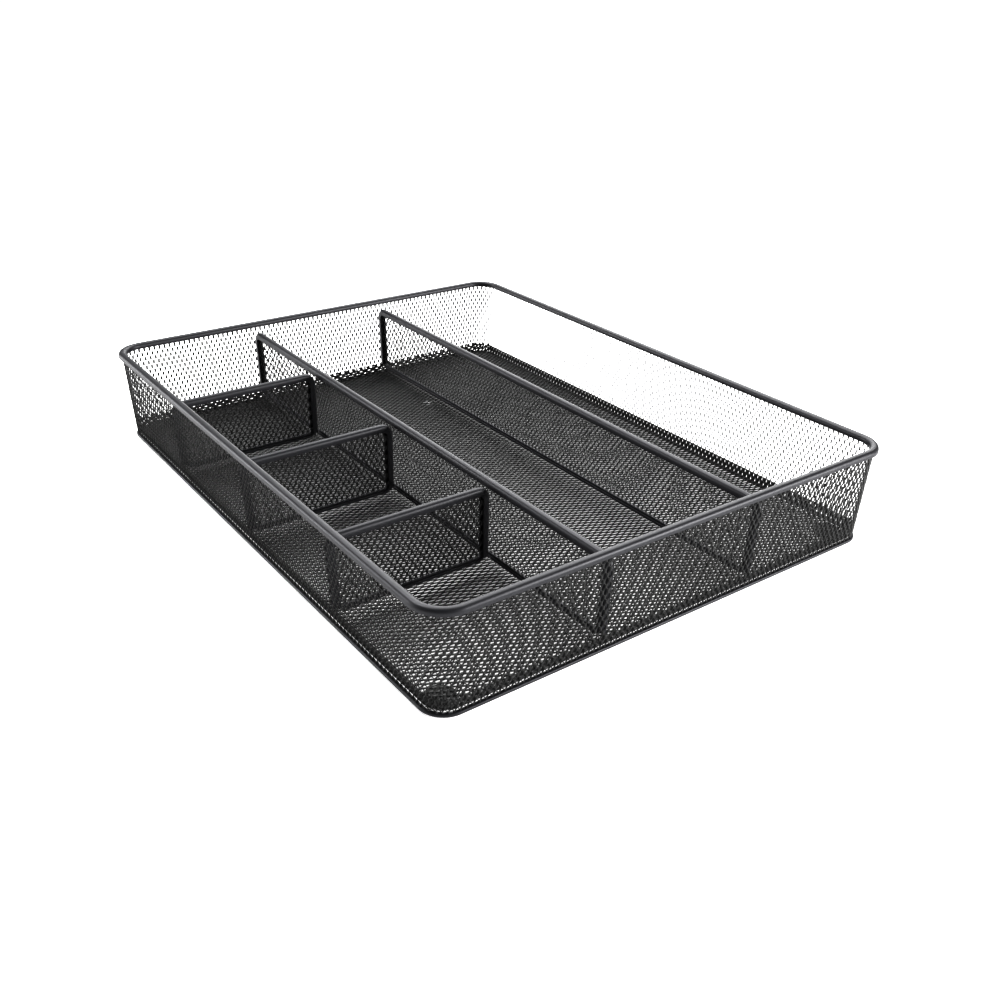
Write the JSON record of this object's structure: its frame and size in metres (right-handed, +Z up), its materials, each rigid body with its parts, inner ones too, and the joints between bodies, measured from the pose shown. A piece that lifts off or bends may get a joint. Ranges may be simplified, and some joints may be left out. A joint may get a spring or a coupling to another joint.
{
  "type": "desk organizer",
  "caption": "Open metal mesh tray with a rolled rim, two long dividers and short crosspieces, sorting small desk items.",
  "frame": {"origin": "middle of the footprint, level with the undersides of the feet", "axes": "+X across the three columns, with the four small cells on the -X side; +Y along the two long columns; +Z up"},
  "size_m": [0.302, 0.384, 0.0595],
  "materials": {
    "coated_strip": "semi-gloss black powder coat on rolled steel strip",
    "coated_mesh": "semi-gloss black powder coat on expanded steel mesh",
    "foot_rubber": "matt black rubber"
  },
  "bodies": {
    "root": {"base_flange": "coated_mesh", "base_sheet": "coated_mesh", "bottom_binding": "coated_strip", "crosspiece_back_panel": "coated_mesh", "crosspiece_back_post_divider": "coated_strip", "crosspiece_back_post_wall": "coated_strip", "crosspiece_back_rail": "coated_strip", "crosspiece_back_sill": "coated_strip", "crosspiece_front_panel": "coated_mesh", "crosspiece_front_post_divider": "coated_strip", "crosspiece_front_post_wall": "coated_strip", "crosspiece_front_rail": "coated_strip", "crosspiece_front_sill": "coated_strip", "crosspiece_middle_panel": "coated_mesh", "crosspiece_middle_post_divider": "coated_strip", "crosspiece_middle_post_wall": "coated_strip", "crosspiece_middle_rail": "coated_strip", "crosspiece_middle_sill": "coated_strip", "divider_left_panel": "coated_mesh", "divider_left_post_back": "coated_strip", "divider_left_post_front": "coated_strip", "divider_left_rail": "coated_strip", "divider_left_sill": "coated_strip", "divider_right_panel": "coated_mesh", "divider_right_post_back": "coated_strip", "divider_right_post_front": "coated_strip", "divider_right_rail": "coated_strip", "divider_right_sill": "coated_strip", "foot_back_left": "foot_rubber", "foot_back_right": "foot_rubber", "foot_front_left": "foot_rubber", "foot_front_right": "foot_rubber", "rim_back": "coated_strip", "rim_corner_back_left": "coated_strip", "rim_corner_back_right": "coated_strip", "rim_corner_front_left": "coated_strip", "rim_corner_front_right": "coated_strip", "rim_front": "coated_strip", "rim_left": "coated_strip", "rim_right": "coated_strip", "wall_back": "coated_mesh", "wall_corner_back_left": "coated_mesh", "wall_corner_back_right": "coated_mesh", "wall_corner_front_left": "coated_mesh", "wall_corner_front_right": "coated_mesh", "wall_front": "coated_mesh", "wall_left": "coated_mesh", "wall_right": "coated_mesh"}
  },
  "joints": []
}
